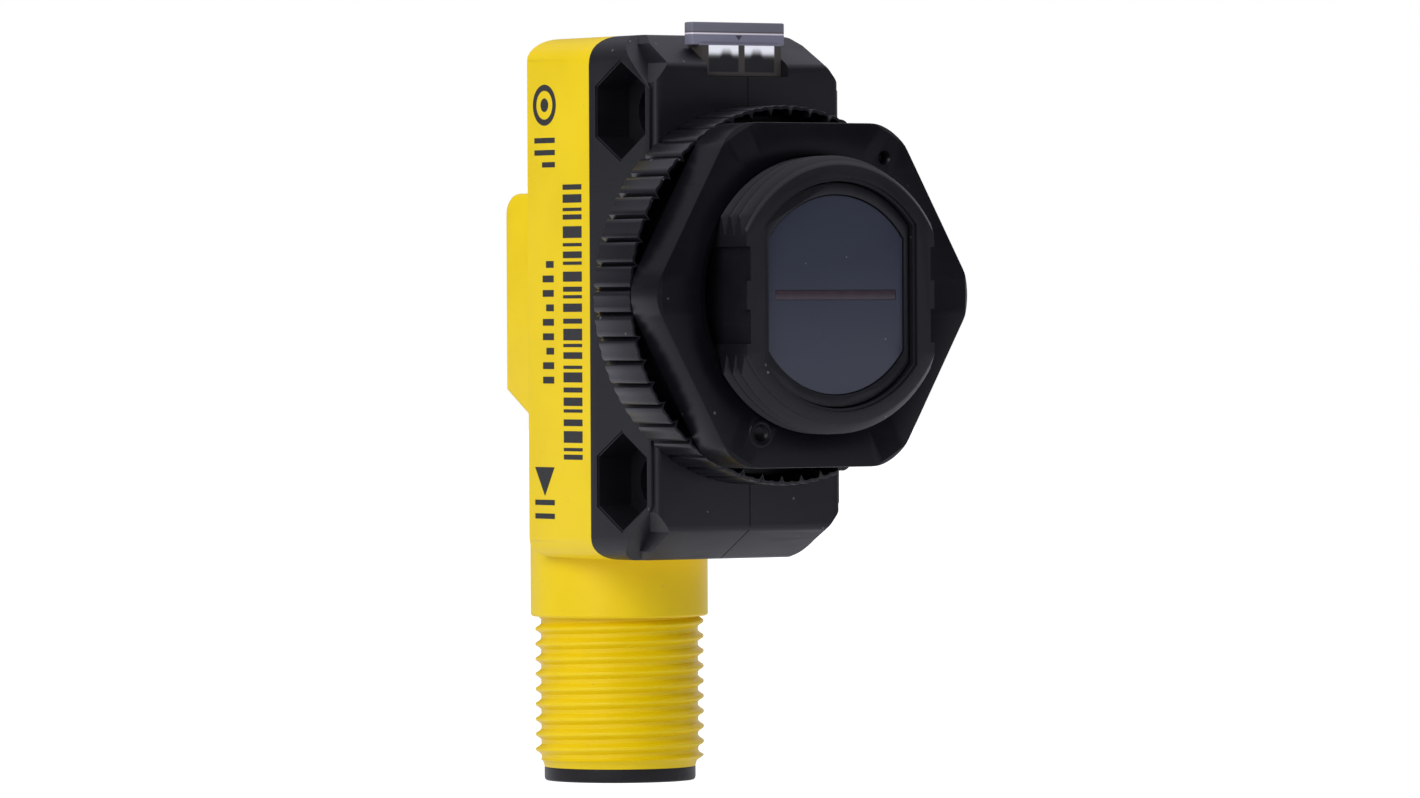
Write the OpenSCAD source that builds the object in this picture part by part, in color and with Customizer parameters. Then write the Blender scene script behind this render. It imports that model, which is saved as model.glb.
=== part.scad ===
// Photoelectric sensor, polarised retroreflective type, with a flatted M18 lens
// barrel, two M3 ears and an M12 four-pin connector.
// Millimetres. The origin is where the lens axis meets the front face of the
// housing. The sensor looks along -Y, +X is to the right from the front, +Z is up.

/* [Housing] */
// Width across the two flat mounting sides
body_w = 15; // [14:0.1:20]
// Height of the housing above the lens axis
body_top = 17; // [16.8:0.1:21]
// Depth of the housing below the lens axis
body_bottom = 17.2; // [16.8:0.1:21]
// Depth of the black front shell, front face to parting plane
front_d = 7.38; // [7.2:0.02:9]
// Depth of the yellow rear shell, parting plane to back face
rear_d = 7.47; // [6.4:0.01:9]
// Wall of both shells
wall = 1.3; // [1:0.05:1.6]
// Set-back of the front block from the side pads, on each side
pad_step = 0.2; // [0.1:0.05:0.6]
// Front edge of the side pads, behind the front face
pad_front = 0.45; // [0.3:0.05:0.8]
// Depth of the sloping front edge at the top and bottom
slope_d = 3.4; // [2:0.1:3.6]
// Height of the sloping front edge at the top and bottom
slope_h = 2; // [1:0.1:2.2]
// Radius of the front shell's upright edges
edge_r = 0.4; // [0.2:0.1:1.2]
// Radius between the top and the two sides
top_r = 1.9; // [1:0.1:2]
// Radius between the bottom and the two sides
low_r = 1.5; // [1:0.1:1.5]
// Radius of the shells' corners in side view
corner_r = 1; // [0.6:0.1:1.2]

/* [Ear holes] */
// Distance between the two M3 holes
ear_pitch = 24.1; // [23.8:0.1:26]
// Distance of the M3 holes behind the front face
ear_y = 3.76; // [3.5:0.02:4]
// Diameter of the M3 clearance holes
ear_hole_d = 3.3; // [3:0.1:3.5]
// Width across flats of the nut pockets
pocket_af = 5.5; // [5:0.1:5.8]
// Depth of the nut pockets
pocket_d = 2.6; // [2:0.1:3]

/* [Lens barrel] */
// Length of the barrel in front of the housing
nose_len = 10.3; // [10:0.1:13]
// Crest diameter of the M18 thread
nose_d = 17.9; // [17.6:0.1:18]
// Depth of the M18 thread
nose_thread_h = 0.55; // [0.3:0.05:0.6]
// Pitch of both threads
pitch = 1; // [0.8:0.1:1.2]
// Width across the two flats of the barrel
nose_flat_w = 14.8; // [14.2:0.1:16]
// Diameter of the barrel's front rim
nose_rim_d = 16.6; // [16.4:0.1:17]
// Diameter of the lens opening
lens_open_d = 14.6; // [14.4:0.1:15]
// Width of the lens opening between its two straight sides
lens_open_w = 11.6; // [11.2:0.1:12]
// Border around the clear window
lens_border = 0.85; // [0.6:0.05:1]
// Border at the window's straight sides
lens_side_border = 0.45; // [0.3:0.05:0.6]

/* [Nut and washer] */
// Width across flats of the mounting nut
nut_af = 22.2; // [21:0.05:24]
// Radius of the mounting nut's corners
nut_corner_r = 3.5; // [1:0.1:4]
// Thickness of the mounting nut
nut_t = 3.2; // [2.6:0.1:4]
// Diameter of the serrated washer
washer_d = 24.6; // [24:0.1:28]
// Thickness of the serrated washer
washer_t = 4.12; // [3:0.02:4.4]
// Number of notches around the washer
washer_notches = 48; // [24:1:60]
// Depth of each notch
notch_h = 0.45; // [0.2:0.05:0.6]
// Depth of the groove in the washer's front face
groove_d = 2.5; // [1:0.1:2.6]
// Gap left between the nut, the washer and the housing when tight
seat_gap = 0.08; // [0.04:0.01:0.15]
// Running clearance of the nut over the thread crest
nut_clear = 0.05; // [0.02:0.01:0.1]

/* [Rear hump] */
// Width of the hump on the back
hump_w = 10.2; // [9.6:0.1:11]
// Depth of the hump behind the rear shell
hump_d = 6.2; // [5.8:0.1:7]
// Top of the hump
hump_top = 6.9; // [6:0.1:8]
// Bottom of the hump's flat back
hump_low = -6.2; // [-8:0.1:-5.4]
// Drop of the hump's lower slope
hump_slope = 3.9; // [3:0.1:5]

/* [Connector] */
// Distance of the connector axis behind the front face
plug_y = 15.15; // [14.8:0.05:16]
// Diameter of the plain collar
collar_d = 11.8; // [11.4:0.1:12.4]
// Length of the plain collar
collar_len = 4; // [3.6:0.1:6]
// Crest diameter of the M12 thread
plug_d = 11.2; // [10.9:0.1:11.4]
// Depth of the M12 thread
plug_thread_h = 0.35; // [0.25:0.05:0.4]
// Number of thread turns on the plug
plug_turns = 10; // [8:1:14]
// Diameter of the insert's front ring
insert_ring_d = 10.1; // [9.9:0.1:10.4]
// Height of the insert's front ring
insert_ring_h = 0.9; // [0.5:0.01:1]
// Diameter of the insert inside the plug
insert_d = 9.1; // [9:0.1:9.4]
// Wall of the insert around its socket
socket_wall = 0.45; // [0.35:0.05:0.5]
// Depth of the socket
socket_depth = 8.4; // [7:0.1:8.6]
// Diameter of the circle that the pins stand on
pin_circle_d = 5; // [4.6:0.1:5.2]
// Diameter of a pin
pin_d = 1; // [0.8:0.05:1]

/* [Electronics] */
// Distance of the circuit board behind the front face
board_y = 9.6; // [9.5:0.05:11]
// Thickness of the circuit board
board_t = 1; // [0.8:0.1:1.2]
// Height of the two light channels above and below the lens axis
channel_z = 3.1; // [3:0.1:3.3]
// Thickness of the blade between the two light channels
blade_t = 0.65; // [0.5:0.05:0.8]
// Side of the square trimmer
trimmer_w = 6.4; // [6:0.1:6.6]
// Diameter of the trimmer's rotor
rotor_d = 3.4; // [3:0.1:3.6]

/* [Light pipe] */
// Width of the light pipe's top bar
pipe_w = 7.3; // [7:0.1:9]
// Height of the top bar above the housing
pipe_proud = 0.8; // [0.4:0.1:1.2]
// Thickness of the top bar
pipe_bar_h = 1.5; // [1:0.1:1.6]
// Front face of the top bar, behind the housing's front face
pipe_front = 1; // [0.9:0.1:1.4]
// Front-to-back size of the top bar
pipe_bar_d = 1; // [0.8:0.1:1.6]
// Width of the window under the bar
pipe_window_w = 6.3; // [5.6:0.1:6.6]
// Height of the window under the bar
pipe_window_h = 2; // [1.6:0.1:2.2]

/* [Hidden] */

$fn = 96;
cut = 1;                 // overrun of every through cut
fit = 0.05;              // clearance of a piece in its seat
slip = 0.1;              // looser clearance of a dropped-in piece
small_fn = 32;

back_y = front_d + rear_d;
block_w = body_w - 2 * pad_step;
cavity_w = body_w - 2 * (wall + slip);
cavity_back = back_y - wall - slip;
cavity_top = body_top - wall - slip;
cavity_low = body_bottom - wall - slip;
ear_z = ear_pitch / 2;
ear_solid = ear_z - pocket_af / 2 - 0.9;   // solid ear starts this far from the lens axis

gasket_t = 0.4;

// Half-width that the front block loses, and how far below its top
shoulder = [[0, 3.2], [1.05, 1.9], [1.2, 0.6], [1.7, 0], [1.7, -cut]];

nose_r = nose_d / 2;
nose_root = nose_r - nose_thread_h;
nose_thread_end = nose_len - 0.7;
nose_wall = 1.25;
bore_w = nose_flat_w - 2 * nose_wall;
bore_d = 2 * (nose_root - 1);
flat_recess = 0.3;       // recess along the middle of each flat
flat_recess_w = 6;
nib_w = 1.85;            // small nib on each flat at the rim
nib_l = 0.6;

frame_y = -nose_len + 0.6;       // front of the lens frame
frame_t = 0.7;
window_t = 0.8;
seal_t = 0.25;
ledge_t = 0.55;
ledge_in = 0.6;
window_back = frame_y + frame_t + window_t;
ledge_y = window_back + seal_t;
optics_y = ledge_y + ledge_t;    // front face of the two lenses
film_t = 0.25;
window_d = lens_open_d - 2 * lens_border;
window_w = lens_open_w - 2 * lens_side_border;

lens_t = 1.2;                    // edge thickness of each lens
lens_bulge = 1.6;                // height of each lens's convex back
lens_r = 8;                      // radius of each lens's convex back
optic_d = bore_d - 2.6;
optic_w = bore_w - 2.4;
block_end = board_y - 1.9;       // back end of the optical block
barrel_w = cavity_w - 1;
barrel_h = 2 * ear_solid - 1;
channel_d = 4.4;

washer_y = -seat_gap;
nut_y = washer_y - washer_t - seat_gap;
nut_corner_cut = 0.28;           // cone at the nut's front corners
nut_cone = tan(35);
washer_turn = 1.75;              // turn of the notches from the +X axis
groove_in = 10.4;
groove_wall = 0.25;              // wall between the groove and the notches
gate = [-4.36, -8.86];           // moulding dimple on the nut's front face
gate_d = 1.2;
vent = [5.49, 8.86];             // small pit on the nut's front face
vent_d = 0.8;

hump_back = back_y + hump_d;
hump_wall = 1.3;
hump_in_w = hump_w - 2 * hump_wall;
hump_mid = (hump_top + hump_low) / 2 - 0.7;   // height of the trimmer's axis
trimmer_back = hump_back - hump_wall - 1.2;
trimmer_depth = 6;

collar_z = -body_bottom - collar_len;
plug_z = collar_z - plug_turns * pitch;
insert_z = plug_z - insert_ring_h;
socket_d = insert_d - 2 * socket_wall;
insert_top = collar_z + 0.6;
plug_bore_top = -body_bottom - 1.2;
socket_top = insert_z + socket_depth;
pin_tip = insert_z + 0.9;
pin_top = insert_top + 0.6;
passage_w = 5.6;
passage_y = board_y + 0.85;

board_w = cavity_w - 0.8;
board_top = cavity_top - 0.25;
board_low = cavity_low - 0.6;
led_x = 2.2;
pipe_top = body_top + pipe_proud;
bar_low = pipe_top - pipe_bar_h;
window_low = bar_low - pipe_window_h;
pipe_window_y = pipe_front - 0.3;
pipe_window_d = 1.6;
leg_w = 1.5;
leg_h = 1;
leg_low = window_low + 0.1;
led_z = leg_low + leg_h / 2;   // the indicator LEDs shine straight into the legs

// ---- building helpers -----------------------------------------------------

// Points of an arc about [u, v]
function arc(u, v, r, a0, a1, n = 8) =
    [for (i = [0:n]) let (a = a0 + (a1 - a0) * i / n) [u + r * cos(a), v + r * sin(a)]];

function flip_u(points) = [for (i = [len(points) - 1:-1:0]) [-points[i][0], points[i][1]]];
function flip_v(points) = [for (i = [len(points) - 1:-1:0]) [points[i][0], -points[i][1]]];

// Closed outline from its right-hand side above and below the lens axis
function all_round(upper, lower) =
    concat(flip_v(lower), upper, flip_u(upper), flip_u(flip_v(lower)));

// Extrudes an outline in (X, Z) from y0 to y1
module along_y(y0, y1) {
    translate([0, y1, 0]) rotate([90, 0, 0]) linear_extrude(y1 - y0) children();
}

// Extrudes an outline in (Y, Z) across the full width w
module along_x(w) {
    rotate([90, 0, 90]) translate([0, 0, -w / 2]) linear_extrude(w) children();
}

// Box from its lowest to its highest corner
module box(low, high) {
    translate(low) cube(high - low);
}

module rod_y(d, y0, y1, x = 0, z = 0) {
    translate([x, y0, z]) rotate([-90, 0, 0]) cylinder(d = d, h = y1 - y0);
}

module rod_z(d, z0, z1, x = 0, y = 0) {
    translate([x, y, z0]) cylinder(d = d, h = z1 - z0);
}

// Circle with two straight sides
module flatted(d, w) {
    intersection() {
        circle(d = d);
        square([w, 2 * d], center = true);
    }
}

// Upper or lower half of a flatted circle, clear of the centre blade
module half_flatted(d, w, side) {
    intersection() {
        flatted(d, w);
        translate([-w, side > 0 ? blade_t / 2 + fit : -d - blade_t / 2 - fit]) square([2 * w, d]);
    }
}

// Ridge profile of a thread: points [radius, distance along the axis]
function ridges(root, crest, start, turns) =
    [for (i = [0:turns - 1])
        for (p = [[root, 0.06], [crest, 0.42], [crest, 0.58], [root, 0.94]])
            [p[0], start + (i + p[1]) * pitch]];

// ---- outlines -------------------------------------------------------------

// One half of a shell outline in side view, from its front edge to its back
function front_half(h) = concat(
    [[0, h - slope_h], [slope_d, h]],
    arc(front_d - corner_r, h - corner_r, corner_r, 90, 0));

function pad_half(h) = concat(
    [[pad_front, h - slope_h - 1.6], [slope_d + 0.2, h - 0.6], [slope_d + 0.8, h]],
    arc(front_d - corner_r, h - corner_r, corner_r, 90, 0));

// Right-hand upper corner of the body, and of the narrower front block, in front view
function body_side(h, r) = arc(body_w / 2 - r, h - r, r, 0, 90);
function block_side(h) = [for (p = shoulder) [block_w / 2 - p[0], h - p[1]]];

module body_outline() {
    polygon(all_round(body_side(body_top, top_r), body_side(body_bottom, low_r)));
}

module front_outline() {
    polygon(concat(front_half(body_top), flip_v(front_half(body_bottom))));
}

module pad_outline() {
    polygon(concat(pad_half(body_top), flip_v(pad_half(body_bottom))));
}

function rear_half(h) = concat(
    [[front_d - corner_r, h]],
    arc(back_y - corner_r, h - corner_r, corner_r, 90, 0));

module rear_outline() {
    polygon(concat(rear_half(body_top), flip_v(rear_half(body_bottom))));
}

module hump_outline() {
    polygon(concat(
        [[back_y - wall, hump_top]],
        arc(hump_back - 1.5 * corner_r, hump_top - 1.5 * corner_r, 1.5 * corner_r, 90, 0),
        [[hump_back, hump_low], [back_y - wall, hump_low - hump_slope]]));
}

// ---- housing --------------------------------------------------------------

module front_block() {
    r = edge_r;
    w = block_w / 2;
    intersection() {
        along_x(body_w) front_outline();
        translate([0, 0, -body_bottom - cut])
            linear_extrude(body_top + body_bottom + 2 * cut)
                polygon(concat(arc(w - r, r, r, 0, -90), arc(r - w, r, r, 270, 180),
                               [[-w, front_d + cut], [w, front_d + cut]]));
        along_y(-cut, front_d + cut) polygon(all_round(block_side(body_top), block_side(body_bottom)));
    }
}

module nose_solid() {
    profile = concat([[0, -cut], [nose_root, -cut]],
                     ridges(nose_root, nose_r, nose_thread_end - 9 * pitch, 9),
                     [[nose_r, nose_thread_end], [nose_rim_d / 2, nose_len], [0, nose_len]]);
    difference() {
        intersection() {
            rotate([90, 0, 0]) rotate_extrude() polygon(profile);
            box([-nose_flat_w / 2, -nose_len - cut, -nose_r - cut],
                [nose_flat_w / 2, cut, nose_r + cut]);
        }
        for (s = [-1, 1])
            translate([s * nose_flat_w / 2, -nose_len / 2 - 0.2, 0])
                cube([2 * flat_recess, nose_len + cut, flat_recess_w], center = true);
    }
    for (s = [-1, 1])
        translate([s * (nose_flat_w / 2 - flat_recess), nib_l / 2 - nose_len, 0])
            cube([flat_recess, nib_l, nib_w], center = true);
}

// Space for the optics inside the barrel, and for the electronics behind it
module front_cavity() {
    along_y(-nose_len - cut, window_back + seal_t) flatted(lens_open_d, lens_open_w);
    along_y(ledge_y - cut, optics_y + cut)
        flatted(lens_open_d - 2 * ledge_in, lens_open_w - 2 * ledge_in);
    along_y(optics_y, wall + cut) flatted(bore_d, bore_w);
    box([-cavity_w / 2, wall, -ear_solid], [cavity_w / 2, front_d + cut, ear_solid]);
}

// Notch for the light pipe's bar and window, and two channels for its legs
module pipe_notch() {
    box([-pipe_w / 2 - fit, -cut, bar_low - fit],
        [pipe_w / 2 + fit, pipe_front + pipe_bar_d + fit, pipe_top + cut]);
    box([-pipe_window_w / 2 - fit, -cut, window_low - fit],
        [pipe_window_w / 2 + fit, pipe_window_y + pipe_window_d + fit, bar_low + cut]);
    for (s = [-1, 1])
        box([s * led_x - leg_w / 2 - fit, pipe_window_y, leg_low - fit],
            [s * led_x + leg_w / 2 + fit, front_d + cut, leg_low + leg_h + fit]);
}

module ear_cuts() {
    for (side = [-1, 1]) translate([0, ear_y, side * ear_z]) rotate([0, 90, 0]) {
        cylinder(d = ear_hole_d, h = body_w + 2 * cut, center = true);
        for (s = [-1, 1])
            translate([0, 0, s * (body_w / 2 + cut / 2 - pocket_d / 2)])
                cylinder(d = pocket_af / cos(30), h = pocket_d + cut, center = true, $fn = 6);
    }
}

// Ring under the rear shell's front edge, made larger all round by gap
module gasket_ring(gap) {
    outer_h = body_top + body_bottom - 2 * corner_r - 0.3;
    thick = gasket_t;
    along_y(front_d - thick - gap, front_d) translate([0, (body_top - body_bottom) / 2]) difference() {
        square([cavity_w + 1 + 2 * gap, outer_h + 2 * gap], center = true);
        square([cavity_w - 2 * gap, outer_h - 2 * thick - 2 * gap], center = true);
    }
}

module front_housing() {
    color([0.11, 0.11, 0.13]) difference() {
        union() {
            front_block();
            intersection() {
                along_x(body_w) pad_outline();
                along_y(0, front_d + cut) body_outline();
            }
            nose_solid();
        }
        front_cavity();
        ear_cuts();
        pipe_notch();
        gasket_ring(fit);
    }
}

module rear_housing() {
    color([0.96, 0.83, 0.15]) difference() {
        union() {
            difference() {
                intersection() {
                    along_x(body_w) rear_outline();
                    along_y(0, back_y + cut) body_outline();
                }
                along_x(body_w + cut) front_outline();
            }
            along_x(hump_w) hump_outline();
            plug_solid();
        }
        box([-cavity_w / 2, front_d - cut, -cavity_low], [cavity_w / 2, cavity_back, cavity_top]);
        box([-hump_in_w / 2, cavity_back - cut, hump_mid - trimmer_w / 2 - 0.8],
            [hump_in_w / 2, hump_back - hump_wall, hump_top - hump_wall]);
        rod_y(rotor_d + 2 * fit, hump_back - hump_wall - cut, hump_back + cut, z = hump_mid);
        rod_y(rotor_d + 1.4, hump_back - 0.5, hump_back + cut, z = hump_mid);
        rod_z(insert_d + 2 * fit, plug_z - cut, plug_bore_top, y = plug_y);
        box([-passage_w / 2, passage_y, pin_top],
            [passage_w / 2, cavity_back, -cavity_low + cut]);
    }
}

// Collar and M12 thread
module plug_solid() {
    root = plug_d / 2 - plug_thread_h;
    profile = concat([[0, 0], [root, 0]],
                     ridges(root, plug_d / 2, 0, plug_turns),
                     [[root, plug_turns * pitch], [collar_d / 2, plug_turns * pitch],
                      [collar_d / 2, plug_turns * pitch + collar_len],
                      [0, plug_turns * pitch + collar_len]]);
    translate([0, plug_y, plug_z]) rotate_extrude() polygon(profile);
}

module housing_gasket() {
    color([0.18, 0.18, 0.2]) gasket_ring(0);
}

// ---- optics ---------------------------------------------------------------

module lens_frame() {
    color([0.1, 0.1, 0.12]) along_y(frame_y, frame_y + frame_t) difference() {
        flatted(lens_open_d - 2 * fit, lens_open_w - 2 * fit);
        flatted(window_d, window_w);
    }
}

module lens_window() {
    color([0.25, 0.28, 0.34, 0.6]) union() {
        along_y(frame_y, frame_y + frame_t + window_t)
            flatted(window_d - 2 * fit, window_w - 2 * fit);
        along_y(frame_y + frame_t, window_back) flatted(lens_open_d - 2 * fit, lens_open_w - 2 * fit);
    }
}

module window_seal() {
    color([0.15, 0.15, 0.15]) along_y(window_back, ledge_y) difference() {
        flatted(lens_open_d - 2 * fit, lens_open_w - 2 * fit);
        flatted(lens_open_d - 2 * ledge_in, lens_open_w - 2 * ledge_in);
    }
}

module polariser(side) {
    along_y(optics_y - film_t, optics_y)
        half_flatted(lens_open_d - 2 * ledge_in - 2 * fit, lens_open_w - 2 * ledge_in - 2 * fit, side);
}

module receiver_polariser() {
    color([0.3, 0.32, 0.36]) polariser(1);
}

module emitter_polariser() {
    color([0.3, 0.32, 0.36]) polariser(-1);
}

module half_lens(side) {
    intersection() {
        along_y(optics_y, optics_y + lens_t + lens_bulge) half_flatted(optic_d, optic_w, side);
        translate([0, optics_y + lens_t + lens_bulge - lens_r, side * channel_z])
            sphere(r = lens_r);
    }
}

module receiver_lens() {
    color([0.75, 0.8, 0.85, 0.6]) half_lens(1);
}

module emitter_lens() {
    color([0.75, 0.8, 0.85, 0.6]) half_lens(-1);
}

module light_divider() {
    color([0.45, 0.16, 0.18])
        box([-optic_w / 2 + fit, optics_y - film_t, -blade_t / 2],
            [optic_w / 2 - fit, block_end, blade_t / 2]);
}

module optical_block() {
    color([0.13, 0.13, 0.14]) difference() {
        union() {
            along_y(optics_y, wall + cut) flatted(bore_d - 2 * fit, bore_w - 2 * fit);
            box([-barrel_w / 2, wall + fit, -barrel_h / 2], [barrel_w / 2, block_end, barrel_h / 2]);
        }
        along_y(optics_y - cut, 0) flatted(optic_d + 2 * fit, optic_w + 2 * fit);
        for (s = [-1, 1]) rod_y(channel_d, -cut, block_end + cut, z = s * channel_z);
        box([-optic_w / 2, -cut, -blade_t / 2 - fit], [optic_w / 2, block_end + cut, blade_t / 2 + fit]);
    }
}

// ---- electronics ----------------------------------------------------------

module circuit_board() {
    color([0.1, 0.38, 0.2]) difference() {
        box([-board_w / 2, board_y, -board_low], [board_w / 2, board_y + board_t, board_top]);
        for (x = [-2, 0, 2])
            rod_y(0.7, board_y - cut, board_y + board_t + cut, x, hump_mid, $fn = small_fn);
    }
}

module receiver_shield() {
    outer = [5.6, 1.6, 5];
    sheet = 0.2;
    low = [-outer[0] / 2, board_y - outer[1], channel_z - outer[2] / 2];
    color([0.78, 0.78, 0.76]) difference() {
        box(low, low + outer);
        box(low + [sheet, sheet, sheet], low + outer + [-sheet, cut, -sheet]);
        rod_y(3.2, low[1] - cut, low[1] + cut, z = channel_z);
    }
}

module photodiode() {
    color([0.15, 0.12, 0.16])
        box([-1.6, board_y - 0.9, channel_z - 1.6], [1.6, board_y, channel_z + 1.6]);
}

module emitter_led() {
    color([0.9, 0.75, 0.72]) {
        box([-1.7, board_y - 0.9, -channel_z - 1.7], [1.7, board_y, -channel_z + 1.7]);
        translate([0, board_y - 0.9, -channel_z]) sphere(d = 1.7, $fn = small_fn);
    }
}

// Square chip on the back of the board
module chip(x, z, w, h, t) {
    box([x - w / 2, board_y + board_t, z - h / 2], [x + w / 2, board_y + board_t + t, z + h / 2]);
}

module control_chips() {
    color([0.08, 0.08, 0.09]) {
        chip(0, 9.2, 5, 5, 0.9);
        chip(-2.6, -8.4, 3, 3.6, 1);
        chip(2.6, -8.4, 3, 3.6, 1);
    }
}

module chip_passives() {
    color([0.62, 0.5, 0.36]) {
        for (i = [0:3]) chip(-3.6 + 2.4 * i, 13.4, 0.8, 1.5, 0.6);
        for (i = [0:4]) chip(-4 + 2 * i, -5.4, 0.8, 1.4, 0.6);
        for (s = [-1, 1]) for (i = [0:1]) chip(s * 4.6, 2 + 3 * i, 0.8, 1.5, 0.6);
    }
}

module indicator_led(x) {
    box([x - 0.8, board_y - 0.8, led_z - 0.6], [x + 0.8, board_y, led_z + 0.6]);
}

module power_led() {
    color([0.3, 0.75, 0.35]) indicator_led(-led_x);
}

module output_led() {
    color([0.95, 0.65, 0.15]) indicator_led(led_x);
}

module light_pipe() {
    color([0.85, 0.88, 0.92, 0.5]) {
        box([-pipe_w / 2, pipe_front, bar_low],
            [pipe_w / 2, pipe_front + pipe_bar_d, pipe_top]);
        box([-pipe_window_w / 2, pipe_window_y, window_low],
            [pipe_window_w / 2, pipe_window_y + pipe_window_d, bar_low]);
        for (s = [-1, 1])
            box([s * led_x - leg_w / 2, pipe_window_y + pipe_window_d, leg_low],
                [s * led_x + leg_w / 2, board_y - 1.1, leg_low + leg_h]);
    }
}

// ---- trimmer --------------------------------------------------------------

module trimmer_body() {
    w = trimmer_w / 2;
    y0 = trimmer_back - trimmer_depth;
    color([0.2, 0.3, 0.62]) difference() {
        union() {
            box([-w, y0, hump_mid - w], [w, trimmer_back, hump_mid + w]);
            for (x = [-2, 0, 2]) rod_y(0.5, board_y, y0, x, hump_mid, $fn = small_fn);
        }
        rod_y(rotor_d + 2 * fit, trimmer_back - 1.5, trimmer_back + cut, z = hump_mid);
    }
}

module trimmer_rotor() {
    y1 = hump_back - 0.6;
    color([0.92, 0.92, 0.88]) difference() {
        rod_y(rotor_d, trimmer_back - 1.4, y1, z = hump_mid);
        for (a = [0, 90]) translate([0, y1, hump_mid]) rotate([0, a, 0])
            cube([2.4, 1.2, 0.55], center = true);
    }
}

module trimmer_seal() {
    thick = 0.9;
    color([0.7, 0.25, 0.2])
        translate([0, trimmer_back + 0.6, hump_mid]) rotate([90, 0, 0])
            rotate_extrude() translate([rotor_d / 2 + thick / 2 + fit, 0]) circle(d = thick, $fn = small_fn);
}

// ---- connector ------------------------------------------------------------

// Places its children at each of the four pins; $sx and $sy are the signs
module each_pin() {
    r = pin_circle_d / 2 * cos(45);
    for ($sx = [-1, 1]) for ($sy = [-1, 1]) translate([$sx * r, plug_y + $sy * r, 0]) children();
}

module connector_insert() {
    key = 1.2;
    color([0.1, 0.1, 0.11]) difference() {
        union() {
            rod_z(insert_ring_d, insert_z, plug_z, y = plug_y);
            rod_z(insert_d, insert_z, insert_top, y = plug_y);
        }
        difference() {
            rod_z(socket_d, insert_z - cut, socket_top, y = plug_y);
            translate([0, plug_y + socket_d / 2, insert_z + 0.8])
                rod_z(key, 0, socket_depth, $fn = small_fn);
        }
        each_pin() rod_z(pin_d + 0.04, insert_z, insert_top + cut, $fn = small_fn);
    }
}

module contact_pins() {
    color([0.85, 0.7, 0.35]) each_pin() {
        rod_z(pin_d, pin_tip + pin_d / 2, pin_top, $fn = small_fn);
        translate([0, 0, pin_tip + pin_d / 2]) sphere(d = pin_d, $fn = small_fn);
    }
}

// Bent strip from a pin's top, at y and centred on x, to the back of the board
module pin_lead(x, y) {
    thick = 0.5;
    half = 0.3;
    run_z = (pin_top + plug_bore_top) / 2;
    y0 = board_y + board_t + fit;
    box([x - half, y - half, pin_top], [x + half, y + half, run_z + thick / 2]);
    box([x - half, y0, run_z - thick / 2], [x + half, y + half, run_z + thick / 2]);
    box([x - half, y0, run_z - thick / 2], [x + half, y0 + thick, -board_low + 1.4]);
}

module pin_leads() {
    r = pin_circle_d / 2 * cos(45);
    aside = 0.5;         // front and rear leads pass each other side by side
    color([0.8, 0.72, 0.5]) for (s = [-1, 1]) {
        pin_lead(s * (r - aside), plug_y - r);
        pin_lead(s * (r + aside), plug_y + r);
    }
}

// ---- nut and washer -------------------------------------------------------

module mounting_nut() {
    r = nut_corner_r;
    centre = (nut_af / 2 - r) / cos(30);
    corner = centre + r;
    back = nut_y;
    front = nut_y - nut_t;
    color([0.1, 0.1, 0.12]) difference() {
        intersection() {
            along_y(front, back)
                polygon([for (a = [0:60:300])
                    for (p = arc(centre * cos(a), centre * sin(a), r, a - 30, a + 30)) p]);
            rotate([90, 0, 0]) rotate_extrude() polygon([
                [0, -back - cut], [corner + cut, -back - cut], [corner + cut, -front - (nut_corner_cut + cut) * nut_cone],
                [corner - nut_corner_cut, -front], [0, -front]]);
        }
        rod_y(nose_d + 2 * nut_clear, front - cut, back + cut);
        rod_y(gate_d, front - cut, front + 0.4, gate[0], gate[1]);
        rod_y(vent_d, front - cut, front + 0.7, vent[0], vent[1]);
    }
}

module serrated_washer() {
    step = 360 / washer_notches;
    r = washer_d / 2;
    front = washer_y - washer_t;
    color([0.11, 0.11, 0.13]) difference() {
        along_y(front, washer_y) difference() {
            polygon([for (i = [0:washer_notches - 1])
                for (p = [[-0.5, notch_h], [-0.3, 0.03], [0, 0], [0.3, 0.03]])
                    let (a = (i + p[0]) * step + washer_turn)
                    [(r - p[1]) * cos(a), (r - p[1]) * sin(a)]]);
            flatted(nose_d + 2 * slip, nose_flat_w + 2 * slip);
        }
        along_y(front - cut, front + groove_d) difference() {
            circle(r = r - notch_h - groove_wall);
            circle(r = groove_in);
        }
    }
}

front_housing();
rear_housing();
housing_gasket();
lens_frame();
lens_window();
window_seal();
receiver_polariser();
emitter_polariser();
receiver_lens();
emitter_lens();
light_divider();
optical_block();
receiver_shield();
photodiode();
emitter_led();
circuit_board();
control_chips();
chip_passives();
power_led();
output_led();
light_pipe();
trimmer_body();
trimmer_rotor();
trimmer_seal();
connector_insert();
contact_pins();
pin_leads();
mounting_nut();
serrated_washer();
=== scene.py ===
"""Photoelectric sensor with a flatted lens barrel, a hex nut, a serrated washer and a
round connector. Frame: X right, Y back, Z up, from where the lens axis meets the front."""
import math

import bmesh
import bpy
from mathutils import Matrix, Vector


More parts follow.
